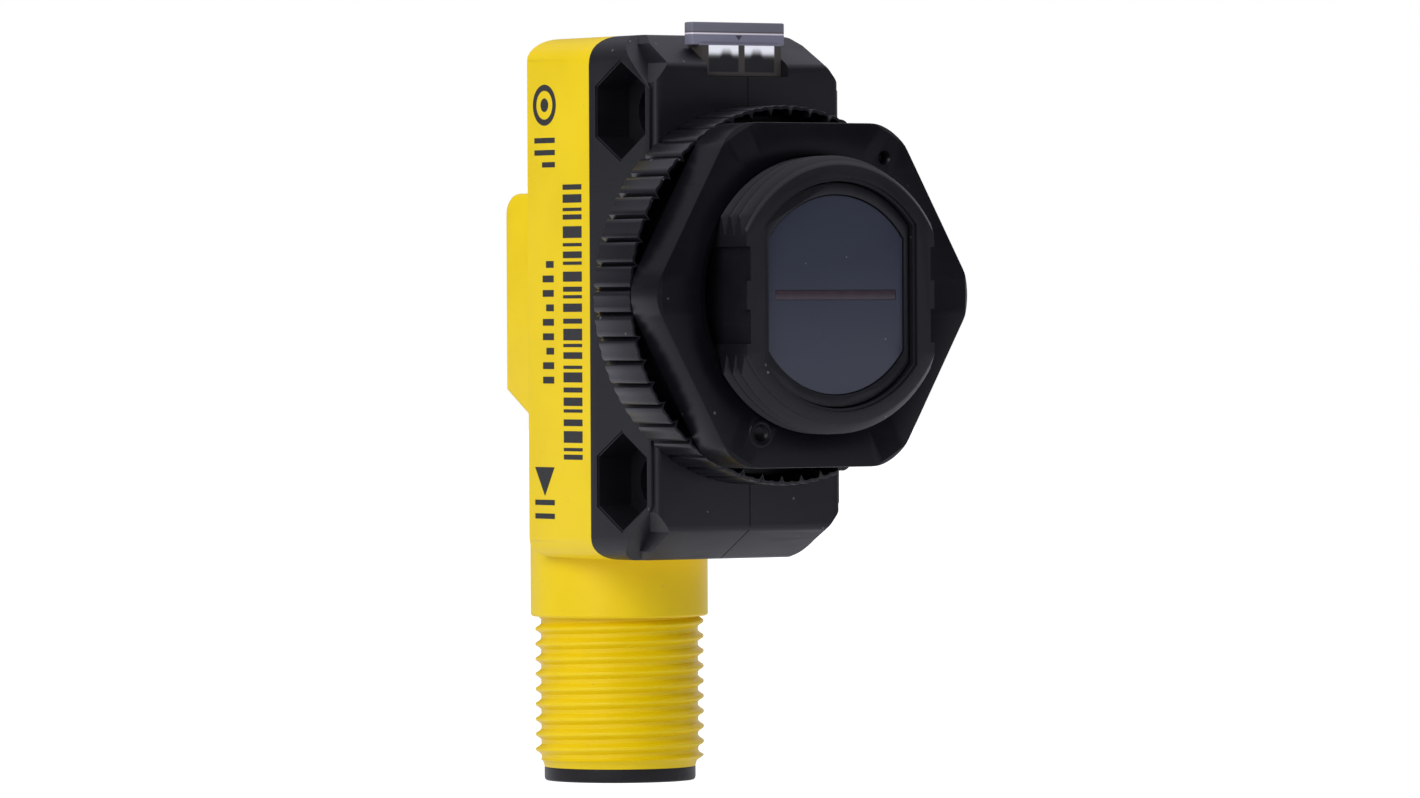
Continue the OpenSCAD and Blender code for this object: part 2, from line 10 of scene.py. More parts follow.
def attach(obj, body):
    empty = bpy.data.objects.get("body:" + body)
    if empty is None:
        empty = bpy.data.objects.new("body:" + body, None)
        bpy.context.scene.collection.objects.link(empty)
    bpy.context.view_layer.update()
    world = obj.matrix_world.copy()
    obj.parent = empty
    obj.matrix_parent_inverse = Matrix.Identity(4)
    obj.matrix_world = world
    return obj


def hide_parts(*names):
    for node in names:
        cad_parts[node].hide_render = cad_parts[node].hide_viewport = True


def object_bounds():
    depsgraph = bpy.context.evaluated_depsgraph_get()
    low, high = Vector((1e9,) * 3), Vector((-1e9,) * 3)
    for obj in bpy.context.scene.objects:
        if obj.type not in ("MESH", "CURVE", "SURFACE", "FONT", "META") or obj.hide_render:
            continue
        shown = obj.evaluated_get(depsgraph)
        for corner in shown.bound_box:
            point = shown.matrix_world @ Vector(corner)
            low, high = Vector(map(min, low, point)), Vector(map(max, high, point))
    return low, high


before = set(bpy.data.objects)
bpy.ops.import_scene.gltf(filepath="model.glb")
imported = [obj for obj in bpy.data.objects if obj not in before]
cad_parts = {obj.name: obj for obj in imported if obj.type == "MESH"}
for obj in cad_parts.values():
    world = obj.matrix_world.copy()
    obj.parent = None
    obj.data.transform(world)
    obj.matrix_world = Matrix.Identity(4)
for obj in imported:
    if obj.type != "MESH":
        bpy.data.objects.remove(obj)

cad_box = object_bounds()

# ---- Camera ---------------------------------------------------------------
# A long lens a little over half a metre away, almost level with the sensor and turned
# to its left, so the front, the left side and the connector all show.
yaw, pitch, roll = (math.radians(a) for a in (34.884, 0.547, -0.278))
sight = Vector((-math.sin(yaw) * math.cos(pitch), -math.cos(yaw) * math.cos(pitch),
                math.sin(pitch)))
across = Vector((math.cos(yaw), -math.sin(yaw), 0))
upward = sight.cross(across)
across, upward = (math.cos(roll) * across + math.sin(roll) * upward,
                  math.cos(roll) * upward - math.sin(roll) * across)
stand = 0.56394 * sight - 0.002531 * across - 0.006726 * upward
camera_data = bpy.data.cameras.new("camera")
camera_data.lens = 219.72
camera_data.sensor_width = 36
camera_data.clip_start = 0.05
camera = bpy.data.objects.new("camera", camera_data)
camera.matrix_world = Matrix.Translation(stand) @ Matrix((across, upward, sight)).transposed().to_4x4()
bpy.context.scene.collection.objects.link(camera)
bpy.context.scene.camera = camera
bpy.context.scene.view_settings.view_transform = "Standard"


# ---- Floor and light ------------------------------------------------------
# A pale sheet of acrylic lit from below, in a white room that is dim in front of the
# sensor, bright overhead and behind it on the right. A large soft box stands high on the
# left, and a small weak one on the right.
class Socket:
    """One output in a node tree. Arithmetic on it adds Math nodes."""

    def __init__(self, tree, link=None):
        self.tree, self.link = tree, link

    def node(self, kind, settings, values, out=0):
        """Adds any node: its settings first, then the values or links of its sockets."""
        made = self.tree.nodes.new("ShaderNode" + kind)
        for name, value in settings.items():
            if name == "stops":
                stops = made.color_ramp.elements
                while len(stops) < len(value):
                    stops.new(0.5)
                for stop, (place, shade) in zip(stops, value):
                    stop.position, stop.color = place, (*shade, 1)
            else:
                setattr(made, name, value)
        feed(made, values)
        return Socket(self.tree, made.outputs[out])

    def maths(self, how, first, second=0.0):
        return self.node("Math", {"operation": how}, {0: first, 1: second})

    def __add__(self, other): return self.maths("ADD", self, other)
    def __radd__(self, other): return self.maths("ADD", other, self)
    def __sub__(self, other): return self.maths("SUBTRACT", self, other)
    def __rsub__(self, other): return self.maths("SUBTRACT", other, self)
    def __mul__(self, other): return self.maths("MULTIPLY", self, other)
    def __rmul__(self, other): return self.maths("MULTIPLY", other, self)

    def band(self, low, high):
        """0 below low, 1 above high, smooth between."""
        return self.node("MapRange", {"interpolation_type": "SMOOTHSTEP"},
                         {"Value": self, "From Min": low, "From Max": high})

    def noise(self, size, detail=2.0):
        """Cloudy noise whose blotches are about size millimetres across."""
        return self.node("TexNoise", {}, {"Vector": self, "Scale": 1000 / size, "Detail": detail})

    def blend(self, first, second):
        """Mixes two colours by this value."""
        return self.node("Mix", {"data_type": "RGBA"}, {0: self, 6: first, 7: second}, 2)


def feed(made, values):
    for name, value in values.items():
        if isinstance(value, Socket):
            made.id_data.links.new(value.link, made.inputs[name])
        else:
            made.inputs[name].default_value = value


def grey(value):
    return (value, value, value, 1)


world = bpy.data.worlds.new("room")
world.use_nodes = True
bpy.context.scene.world = world
room = Socket(world.node_tree)
seen = room.node("LightPath", {}, {}, "Is Camera Ray")
outward = room.node("TexCoord", {}, {}, "Generated")


def towards(direction):
    return room.node("VectorMath", {"operation": "DOT_PRODUCT"}, {0: outward, 1: direction}, "Value")


overhead, back_left, back_right = (0, 0, 1), (-0.7, 0.7, 0), (0.81, 0.57, 0.1)
sky = (0.08 + 1.0 * towards(overhead).band(0.3, 0.9) + 0.1 * towards(back_left).band(0.1, 0.9)
       + 0.9 * towards(back_right).band(0.86, 0.98))
feed(world.node_tree.nodes["Background"], {"Color": seen.blend(
    room.node("CombineColor", {}, {0: sky, 1: sky, 2: sky * 1.15}), grey(1))})

bm = bmesh.new()
bmesh.ops.create_grid(bm, x_segments=1, y_segments=1, size=1.5)
FLOOR_GAP = 0.00002
bmesh.ops.translate(bm, vec=(0, 0, cad_box[0].z - FLOOR_GAP), verts=bm.verts)
mesh = bpy.data.meshes.new("floor")
bm.to_mesh(mesh)
bm.free()
floor = bpy.data.objects.new("floor", mesh)
bpy.context.scene.collection.objects.link(floor)
sheet = bpy.data.materials.new("lit_acrylic")
sheet.use_nodes = True
sheet_shader = sheet.node_tree.nodes["Principled BSDF"]
feed(sheet_shader, {"Base Color": grey(0.4), "Roughness": 0.9, "Specular IOR Level": 0.0})
glow = Socket(sheet.node_tree)
glow = glow.node("LightPath", {}, {}, "Is Camera Ray").blend((0.51, 0.52, 0.59, 1), grey(0.93))
feed(sheet_shader, {"Emission Color": glow, "Emission Strength": 1.0})
floor.data.materials.append(sheet)


def soft_box(name, place, size, watts):
    light = bpy.data.lights.new(name, "AREA")
    light.shape, light.size, light.energy = "DISK", size, watts
    lamp = bpy.data.objects.new(name, light)
    aim = Vector(place).to_track_quat("Z", "Y").to_matrix().to_4x4()
    lamp.matrix_world = Matrix.Translation(place) @ aim
    bpy.context.scene.collection.objects.link(lamp)


soft_box("left_box", (-0.6, -0.25, 0.3), 0.45, 2.7)
soft_box("right_box", (0.5, -0.3, 0.3), 0.3, 0.06)

# ---- Front housing --------------------------------------------------------
# The black front shell, moulded in glass-filled plastic in one shot with the lens barrel.
# Two ears carry M3 holes with a nut pocket on each side, and a fine flash line runs
# down the middle where the mould halves met.
HALF_W, BLOCK_W = 7.5, 7.3
TOP, LOW = 17.0, 17.2
SPLIT_Y, BACK_Y = 7.38, 14.85
WALL = 1.3
SLOPE_D, SLOPE_H, CORNER_R = 3.4, 2.0, 1.0
EDGE_R, TOP_R, LOW_R = 0.4, 1.9, 1.5


def arc(u, v, r, start, end, steps=8):
    """Points of an arc about (u, v), in degrees."""
    turns = [math.radians(start + (end - start) * i / steps) for i in range(steps + 1)]
    return [(u + r * math.cos(a), v + r * math.sin(a)) for a in turns]


def mirrored(points):
    return [(u, -v) for u, v in reversed(points)]


def prism(points, axis, start, end):
    """Extrudes an outline along x, y or z; its points are on the other two axes."""
    bm = bmesh.new()
    spot = {"x": lambda u, v, w: (w, u, v), "y": lambda u, v, w: (u, w, v),
            "z": lambda u, v, w: (u, v, w)}[axis]
    face = bm.faces.new([bm.verts.new(spot(u, v, start)) for u, v in points])
    grown = bmesh.ops.extrude_face_region(bm, geom=[face], use_keep_orig=True)
    moved = [g for g in grown["geom"] if isinstance(g, bmesh.types.BMVert)]
    bmesh.ops.translate(bm, vec=Vector(spot(0, 0, end - start)), verts=moved)
    bmesh.ops.recalc_face_normals(bm, faces=bm.faces)
    return bm


def block(low, high):
    return prism([(low[0], low[1]), (high[0], low[1]), (high[0], high[1]), (low[0], high[1])],
                 "z", low[2], high[2])


def rounded(bm, radius, steps, chosen):
    """Bevels the edges whose middle point, direction and length are chosen."""
    edges = [e for e in bm.edges
             if chosen((e.verts[0].co + e.verts[1].co) / 2, e.verts[0].co - e.verts[1].co)]
    bmesh.ops.bevel(bm, geom=edges, offset=radius, offset_type="OFFSET", affect="EDGES", segments=steps,
                    profile=0.5, material=-1, clamp_overlap=True)
    return bm


def combined(first, second, how):
    """Boolean of two closed meshes, both of which are used up."""
    parts = []
    for bm in (first, second):
        mesh = bpy.data.meshes.new("work")
        bm.to_mesh(mesh)
        bm.free()
        part = bpy.data.objects.new("work", mesh)
        bpy.context.scene.collection.objects.link(part)
        parts.append(part)
    cutter = parts[0].modifiers.new("cut", "BOOLEAN")
    cutter.object, cutter.operation, cutter.solver = parts[1], how, "EXACT"
    result = bmesh.new()
    result.from_object(parts[0], bpy.context.evaluated_depsgraph_get())
    for part in parts:
        mesh = part.data
        bpy.data.objects.remove(part)
        bpy.data.meshes.remove(mesh)
    bmesh.ops.remove_doubles(result, verts=result.verts, dist=1e-5)
    return result


def cut(bm, *cutters):
    for cutter in cutters:
        bm = combined(bm, cutter, "DIFFERENCE")
    return bm


def joined(bm, *others):
    for other in others:
        bm = combined(bm, other, "UNION")
    return bm


def rod(axis, radius, start, end, u, v, steps=64):
    return prism(arc(u, v, radius, 0, 360 - 360 / steps, steps - 1), axis, start, end)


def finished(name, bm, body, finish, replaced=(), sharp=32):
    """Turns a mesh made in millimetres into a piece that rides on a body."""
    bmesh.ops.scale(bm, vec=(0.001,) * 3, verts=bm.verts)
    mesh = bpy.data.meshes.new(name)
    bm.to_mesh(mesh)
    bm.free()
    mesh.polygons.foreach_set("use_smooth", [True] * len(mesh.polygons))
    mesh.set_sharp_from_angle(angle=math.radians(sharp))
    mesh.materials.append(finish)
    piece = bpy.data.objects.new(name, mesh)
    bpy.context.scene.collection.objects.link(piece)
    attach(piece, body)
    if replaced:
        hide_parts(*replaced)


def surface(name, fixed):
    """A new material, its shader node and its Object coordinates."""
    made = bpy.data.materials.new(name)
    made.use_nodes = True
    shader = made.node_tree.nodes["Principled BSDF"]
    feed(shader, fixed)
    return made, shader, Socket(made.node_tree).node("TexCoord", {}, {}, "Object")


def moulded(name, dark, light, gloss, grain, depth, dust, shine, dust_shade=(0.2, 0.2, 0.22, 1)):
    """Moulded plastic: faint flow clouds, a fine spark-eroded grain, hairline rubs and dust."""
    made, shader, place = surface(name, {"IOR": 1.49, "Specular IOR Level": shine})
    clouds = place.noise(5, 3).band(0.3, 0.7)
    fine = place.noise(grain, 3)
    drawn_out = place.node("Mapping", {}, {"Vector": place, "Rotation": (0.3, 0.5, 0.2),
                                           "Scale": (1, 1, 14)})
    rubs = drawn_out.noise(6, 4)
    speck = place.node("TexVoronoi", {"feature": "F1"}, {"Vector": place, "Scale": 620.0, "Randomness": 1.0})
    speck = (1 - speck.band(0.045, 0.075)) * place.noise(2.2, 0).band(0.5, 0.56) * dust
    shade = (clouds * 0.7 + fine * 0.3).blend((*dark, 1), (*light, 1))
    feed(shader, {
        "Base Color": speck.blend(shade, dust_shade),
        "Roughness": gloss + (clouds - 0.5) * 0.06 + rubs.band(0.55, 0.75) * 0.07 + speck * 0.3,
        "Normal": place.node("Bump", {}, {"Height": fine + rubs * 0.15, "Strength": 0.55,
                                          "Distance": depth})})
    return made


black_plastic = moulded("black_plastic", (0.004, 0.0041, 0.0056), (0.007, 0.0071, 0.0092),
                        0.42, 0.13, 0.000012, dust=0.5, shine=0.32)


def back_corner(h):
    return arc(SPLIT_Y - CORNER_R, h - CORNER_R, CORNER_R, 90, 0)


def front_side(h):
    return [(0, h - SLOPE_H), (SLOPE_D, h)] + back_corner(h)


front_outline = front_side(TOP) + mirrored(front_side(LOW))
core = rounded(prism(front_outline, "x", -8, 8), 0.3, 3,
               lambda mid, run: abs(run.x) > 10 and mid.y < SLOPE_D + 0.2)
plan = (arc(BLOCK_W - EDGE_R, EDGE_R, EDGE_R, 0, -90)
        + arc(EDGE_R - BLOCK_W, EDGE_R, EDGE_R, 270, 180))
core = combined(core, prism(plan + [(-BLOCK_W, 9), (BLOCK_W, 9)], "z", -20, 20), "INTERSECT")


def all_round(upper, lower):
    """Front view outline from its right-hand side above and below the lens axis."""
    right = mirrored(lower) + upper
    return right + [(-u, v) for u, v in reversed(right)]


def shoulder(h):
    return [(BLOCK_W, h - 3.2), (6.25, h - 1.9), (6.1, h - 0.6), (5.6, h), (5.6, h + 1)]


core = combined(core, prism(all_round(shoulder(TOP), shoulder(LOW)), "y", -1, 9), "INTERSECT")
rounded(core, 0.12, 2, lambda mid, run: (abs(mid.x) > 5.9 and mid.y < 3 and abs(mid.z) > 13.7
                                         and run.length > 1))
body_front = all_round(arc(HALF_W - TOP_R, TOP - TOP_R, TOP_R, 0, 90),
                       arc(HALF_W - LOW_R, LOW - LOW_R, LOW_R, 0, 90))


def pad_side(h):
    return [(0.45, h - 3.6), (1.0, h - 3.1), (3.8, h - 0.6), (4.4, h)] + back_corner(h)


pads = rounded(prism(pad_side(TOP) + mirrored(pad_side(LOW)), "x", -HALF_W, HALF_W), 0.12, 2,
               lambda mid, run: abs(run.x) < 1e-4 and mid.y < SPLIT_Y - 0.01)
shell = joined(core, combined(pads, prism(body_front, "y", -1, 9), "INTERSECT"))

EAR_Y, EAR_Z, EAR_HOLE_R = 3.76, 12.05, 1.65
POCKET_R = 5.5 / 2 / math.cos(math.radians(30))
for level in (-EAR_Z, EAR_Z):
    shell = cut(shell, rod("x", EAR_HOLE_R, -9, 9, EAR_Y, level))
    for hand in (-1, 1):
        hexagon = arc(EAR_Y, level, POCKET_R, 90, 390, 5)
        mouth = arc(EAR_Y, level, POCKET_R + 0.16, 90, 390, 5)
        inner, outer = sorted((hand * 4.9, hand * 9))
        pocket = prism(hexagon, "x", inner, outer)
        lip = prism(mouth, "x", *sorted((hand * 7.42, hand * 9)))
        shell = cut(shell, joined(pocket, lip))

BORE_R, BORE_W = 7.4, 6.15


def flatted(radius, half_w, steps=24):
    """Outline of a circle with two straight sides."""
    lean = math.degrees(math.acos(half_w / radius))
    return (arc(0, 0, radius, lean, 180 - lean, steps)
            + arc(0, 0, radius, 180 + lean, 360 - lean, steps))


CAVITY_W, EAR_SOLID = 6.1, 8.4
shell = cut(shell, prism(flatted(BORE_R, BORE_W), "y", -1, WALL + 1),
            block((-CAVITY_W, WALL, -EAR_SOLID), (CAVITY_W, 9, EAR_SOLID)))

PIPE_W, PIPE_WINDOW_W, LEG_X, FIT = 3.65, 3.15, 2.2, 0.05
shell = cut(shell, block((-PIPE_W - FIT, -1, 16.25), (PIPE_W + FIT, 2.05, 18)),
            block((-PIPE_WINDOW_W - FIT, -1, 14.25), (PIPE_WINDOW_W + FIT, 2.35, 16.5)),
            *(block((x - 0.8, 0.7, 14.35), (x + 0.8, 9, 15.45)) for x in (-LEG_X, LEG_X)))

flash = [(0.05, 15.0), (3.43, 16.94), (7, 16.94), (7, 18), (-1, 18)]
for height in (1, -LOW / TOP):
    line = prism([(y, z * height) for y, z in flash + [(-1, 9.4), (0.05, 9.4)]], "x", -0.035, 0.035)
    shell = cut(shell, line)

finished("housing_block", shell, "housing", black_plastic, ["front_housing"])

# ---- Lens barrel ----------------------------------------------------------
# The M18 x 1 barrel of the front shell. Its thread is cut away by two flats, each with a
# shallow recess along it and a small nib at the rim, and the rim's outer edge is bevelled.
RIM_Y, THREAD_Y = -10.3, -9.6
CREST_R, ROOT_R = 8.95, 8.32
PITCH = 1.0


def threaded(profile, length, steps=96):
    """Right-hand thread up the Z axis, from a profile of (radius, height in one pitch)."""
    bm = bmesh.new()
    points = [bm.verts.new((r, 0, z * PITCH)) for r, z in profile]
    edges = [bm.edges.new(pair) for pair in zip(points, points[1:])]
    turns = math.ceil(length / PITCH) + 2
    bmesh.ops.spin(bm, geom=points + edges, cent=(0, 0, 0), axis=(0, 0, 1), angle=math.tau * turns,
                   dvec=(0, 0, PITCH / steps), steps=steps * turns, use_merge=False)
    bmesh.ops.remove_doubles(bm, verts=bm.verts, dist=1e-4)
    bmesh.ops.translate(bm, vec=(0, 0, -1.5 * PITCH), verts=bm.verts)
    for height, way in ((0, -1), (length, 1)):
        bmesh.ops.bisect_plane(bm, geom=bm.verts[:] + bm.edges[:] + bm.faces[:], dist=1e-5,
                               plane_co=(0, 0, height), plane_no=(0, 0, way), clear_outer=True)
    bmesh.ops.holes_fill(bm, edges=[e for e in bm.edges if e.is_boundary], sides=0)
    bmesh.ops.recalc_face_normals(bm, faces=bm.faces)
    return bm


def turned(profile, axis, steps=96):
    """Solid of revolution about y or z, from a profile of (radius, place on the axis)."""
    bm = bmesh.new()
    points = [bm.verts.new((r, w, 0) if axis == "y" else (r, 0, w)) for r, w in profile]
    edges = [bm.edges.new(pair) for pair in zip(points, points[1:])]
    bmesh.ops.spin(bm, geom=points + edges, cent=(0, 0, 0), axis=(0, 1, 0) if axis == "y" else (0, 0, 1),
                   angle=math.tau, steps=steps, use_merge=True)
    bmesh.ops.remove_doubles(bm, verts=bm.verts, dist=1e-4)
    bmesh.ops.recalc_face_normals(bm, faces=bm.faces)
    return bm


def placed(bm, x, y, z):
    bmesh.ops.translate(bm, vec=(x, y, z), verts=bm.verts)
    return bm


def forward(bm):
    """Turns a thread made up the Z axis so that it runs towards -Y."""
    bmesh.ops.rotate(bm, cent=(0, 0, 0), matrix=Matrix.Rotation(math.radians(90), 3, "X"), verts=bm.verts)
    return bm


ridge = [(ROOT_R, 0.0), (ROOT_R, 0.1), (CREST_R - 0.04, 0.42), (CREST_R, 0.48), (CREST_R, 0.56),
         (CREST_R - 0.04, 0.62), (ROOT_R, 0.94), (ROOT_R, 1.0)]
rim = turned([(0, RIM_Y), (8.3, RIM_Y), (8.38, RIM_Y + 0.04), (8.97, THREAD_Y - 0.03), (8.97, -0.01),
              (0, -0.01)], "y")
barrel = combined(forward(threaded(ridge, -RIM_Y)), rim, "INTERSECT")
FLAT_X, RECESS_X = 7.4, 7.1
barrel = combined(barrel, block((-FLAT_X, -11, -10), (FLAT_X, 0, 10)), "INTERSECT")
for hand in (-1, 1):
    near, far = sorted((hand * RECESS_X, hand * 9))
    barrel = cut(barrel, block((near, -11, 0.92), (far, 1, 3.1)),
                 block((near, -11, -3.1), (far, 1, -0.92)), block((near, -9.7, -1.5), (far, 1, 1.5)))

OPEN_R, OPEN_W = 7.3, 5.8
mouth = prism(flatted(OPEN_R, OPEN_W), "y", -11, -7.95)
step = prism(flatted(OPEN_R + 0.22, OPEN_W + 0.22), "y", -11, RIM_Y + 0.16)
ledge = prism(flatted(6.7, 5.2), "y", -8.5, -7)
barrel = cut(barrel, mouth, step, ledge, prism(flatted(BORE_R, BORE_W), "y", -7.4, 1))
finished("barrel", barrel, "housing", black_plastic, ["front_housing"])

# ---- Lens frame and window ------------------------------------------------
# A thin black frame holds a smoked, polished acrylic window, which hides the two lenses.
# The edge of the dark red light divider shows as a line across its middle.
GLASS_Y = -9.7
GLASS_R, GLASS_W = 6.45, 5.35
border = prism(flatted(OPEN_R - 0.09, OPEN_W - 0.09), "y", GLASS_Y - 0.12, -9.0)
border = cut(border, prism(flatted(GLASS_R, GLASS_W), "y", -11, -8.5))
rounded(border, 0.06, 2, lambda mid, run: mid.y < GLASS_Y - 0.1)
finished("lens_border", border, "housing", black_plastic, ["lens_frame"])

smoked, shader, place = surface("smoked_acrylic", {"IOR": 1.49, "Specular IOR Level": 0.35})
haze = place.noise(9, 2)
dots = place.node("TexVoronoi", {"feature": "F1"}, {"Vector": place, "Scale": 520.0})
dots = (1 - dots.band(0.03, 0.05)) * place.noise(1.7, 0).band(0.52, 0.56)
feed(shader, {"Base Color": dots.blend(haze.blend((0.029, 0.034, 0.05, 1), (0.036, 0.042, 0.06, 1)),
                                       (0.16, 0.17, 0.19, 1)),
              "Roughness": 0.24 + haze * 0.1 + dots * 0.4})
pane = joined(prism(flatted(GLASS_R - FIT, GLASS_W - FIT), "y", GLASS_Y, -8.4),
              prism(flatted(OPEN_R - FIT, OPEN_W - FIT), "y", -9.0, -8.2))
slit = block((-4.77, GLASS_Y - 1, -0.33), (4.77, GLASS_Y + 0.25, 0.33))
pane = cut(rounded(pane, 0.06, 2, lambda mid, run: mid.y < GLASS_Y + 1e-4), slit)
finished("window_pane", pane, "housing", smoked, ["lens_window"])

red_edge, shader, place = surface("divider_red", {"Roughness": 0.35, "IOR": 1.49})
feed(shader, {"Base Color": place.noise(0.8, 3).blend((0.02, 0.012, 0.018, 1),
                                                      (0.045, 0.026, 0.036, 1))})
blade = rounded(block((-4.75, GLASS_Y + 0.02, -0.31), (4.75, GLASS_Y + 0.24, 0.31)), 0.03, 2,
                lambda mid, run: mid.y < GLASS_Y + 0.05)
finished("divider_edge", blade, "housing", red_edge)

# ---- Mounting nut ---------------------------------------------------------
# A hex jam nut moulded in glossier black plastic. Its front corners are turned to a
# cone, and the front face has the sunken gate with its raised lip and a small vent pit.
NUT_FRONT, NUT_BACK = -7.48, -4.28
NUT_FLAT, NUT_R = 11.1, 3.5
NUT_MAJOR_R, NUT_MINOR_R = 9.0, 8.42
nut_plastic = moulded("nut_plastic", (0.003, 0.003, 0.0045), (0.005, 0.005, 0.0068),
                      0.34, 0.2, 0.000008, dust=0.35, shine=0.16)
outline = []
for turn in range(0, 360, 60):
    centre = Vector((math.cos(math.radians(turn)), math.sin(math.radians(turn))))
    centre *= (NUT_FLAT - NUT_R) / math.cos(math.radians(30))
    outline += arc(*centre, NUT_R, turn - 30, turn + 30, 10)
nut = rounded(prism(outline, "y", NUT_FRONT, NUT_BACK), 0.09, 2, lambda mid, run: abs(run.y) < 1e-4)
cone = turned([(0, NUT_FRONT), (12.0, NUT_FRONT), (12.45, NUT_FRONT + 0.315), (12.6, NUT_BACK),
               (0, NUT_BACK)], "y")
groove = [(NUT_MINOR_R, 0.0), (NUT_MINOR_R, 0.06), (NUT_MAJOR_R, 0.38), (NUT_MAJOR_R, 0.66),
          (NUT_MINOR_R, 0.98), (NUT_MINOR_R, 1.0)]
lead = turned([(0, NUT_FRONT - 1), (9.12, NUT_FRONT - 1), (9.12, NUT_FRONT),
               (NUT_MINOR_R, NUT_FRONT + 0.25), (0, NUT_FRONT + 0.25)], "y")
nut = cut(combined(nut, cone, "INTERSECT"), forward(threaded(groove, -THREAD_Y)), lead)
GATE, VENT = (-4.36, NUT_FRONT, -8.86), (5.49, NUT_FRONT, 8.86)
gate = turned([(0, -0.012), (0.62, -0.012), (0.68, -0.06), (0.78, -0.075), (0.88, -0.05), (0.95, 0.02),
               (0.95, 0.3), (0, 0.3)], "y", 40)
dish = turned([(0, -1), (0.58, -1), (0.56, 0.04), (0.42, 0.22), (0.25, 0.3), (0, 0.33)], "y", 40)
pit = turned([(0, -1), (0.5, -1), (0.48, 0.0), (0.4, 0.1), (0.3, 0.3), (0.26, 0.6), (0, 0.62)], "y", 32)
nut = cut(joined(nut, placed(gate, *GATE)), placed(dish, *GATE), placed(pit, *VENT))
finished("nut", nut, "nut", nut_plastic, ["mounting_nut"], sharp=24)

# ---- Serrated washer ------------------------------------------------------
# A thick black ring with forty-eight flat-topped lobes for gripping by hand. Its hole
# has two flats, so it can't turn on the barrel while the nut is tightened. A deep groove
# from the front leaves the lobes as a thin wall.
WASHER_FRONT, WASHER_BACK = -4.2, -0.08
WASHER_R, LOBES, LOBE_TURN = 12.3, 48, 0.2333
LOBE_WALL, GROOVE_IN_R, GROOVE_D = 0.22, 10.4, 3.0
washer_plastic = moulded("washer_plastic", (0.004, 0.0041, 0.0058), (0.0068, 0.0069, 0.0092),
                         0.34, 0.2, 0.000008, dust=0.4, shine=0.34)
lobe = [(-0.5, 0.42), (-0.4, 0.07), (-0.34, 0.02), (-0.2, 0.0), (0.0, 0.07), (0.2, 0.0), (0.34, 0.02),
        (0.4, 0.07)]


def lobed(inset):
    """Outline of the forty-eight lobes, set in by a wall's thickness."""
    outline = []
    for i in range(LOBES):
        for t, d in lobe:
            around, radius = (i + t + LOBE_TURN) * math.tau / LOBES, WASHER_R - inset - d
            outline.append((radius * math.cos(around), radius * math.sin(around)))
    return outline


washer = rounded(prism(lobed(0), "y", WASHER_FRONT, WASHER_BACK), 0.06, 2,
                 lambda mid, run: abs(run.y) < 1e-4)
hollow = cut(prism(lobed(LOBE_WALL), "y", -6, WASHER_FRONT + GROOVE_D),
             rod("y", GROOVE_IN_R, -7, 1, 0, 0, 96))
washer = cut(washer, prism(flatted(9.05, 7.5), "y", -6, 1), hollow)
finished("washer", washer, "washer", washer_plastic, ["serrated_washer"])

# ---- Rear housing ---------------------------------------------------------
# The bright yellow rear shell, moulded in satin plastic and welded to the front shell.
# It carries a hump for the trimmer on its back.
HUMP_W, HUMP_BACK, HUMP_TOP, HUMP_LOW = 5.1, 21.05, 6.9, -6.2
AXIS_Z = -0.35
SLOPE_RUN, SLOPE_DROP = 6.2, 3.9
yellow_plastic = moulded("yellow_plastic", (0.79, 0.565, 0.0), (0.86, 0.625, 0.002),
                         0.42, 0.25, 0.00001, dust=0.25, shine=0.3, dust_shade=(0.5, 0.4, 0.1, 1))


def rear_side(h):
    return [(SPLIT_Y - 1, h)] + arc(BACK_Y - 1.3, h - 1.3, 1.3, 90, 0)


rear = rounded(prism(rear_side(TOP) + mirrored(rear_side(LOW)), "x", -HALF_W, HALF_W), 0.3, 3,
               lambda mid, run: abs(run.x) < 1e-4 and mid.y > SPLIT_Y)
rear = cut(combined(rear, prism(body_front, "y", 0, 16), "INTERSECT"), prism(front_outline, "x", -9, 9))
hump_side = ([(BACK_Y - 1, HUMP_TOP)] + arc(HUMP_BACK - 1.4, HUMP_TOP - 1.4, 1.4, 90, 0)
             + [(HUMP_BACK, HUMP_LOW), (BACK_Y - 1, HUMP_LOW - SLOPE_DROP * (1 + 1 / SLOPE_RUN))])
hump = rounded(prism(hump_side, "x", -HUMP_W, HUMP_W), 0.35, 3,
               lambda mid, run: mid.y > BACK_Y - 0.9 and abs(run.x) < 1e-4)
rear = joined(rear, hump)

PLUG_Y, INSERT_R = 15.15, 4.6
COLLAR_R, COLLAR_TOP, COLLAR_LOW = 5.9, -16.2, -21.2
collar = turned([(0, COLLAR_TOP), (COLLAR_R - 0.25, COLLAR_TOP), (COLLAR_R, COLLAR_TOP - 0.25),
                 (COLLAR_R, COLLAR_LOW + 0.12), (COLLAR_R - 0.12, COLLAR_LOW), (0, COLLAR_LOW)], "z")
rear = joined(rear, placed(collar, 0, PLUG_Y, 0))
rear = cut(rear, block((-CAVITY_W, 6, -15.8), (CAVITY_W, 13.45, 15.6)),
           block((-3.8, 12, -4.35), (3.8, 19.75, 5.6)),
           rod("y", 1.75, 18, 22, 0, AXIS_Z), rod("y", 2.4, 20.55, 22, 0, AXIS_Z),
           rod("z", INSERT_R, -40, -18.4, 0, PLUG_Y),
           block((-2.8, 10.45, -20), (2.8, 13.45, -15)))
finished("rear_shell", rear, "housing", yellow_plastic, ["rear_housing"])

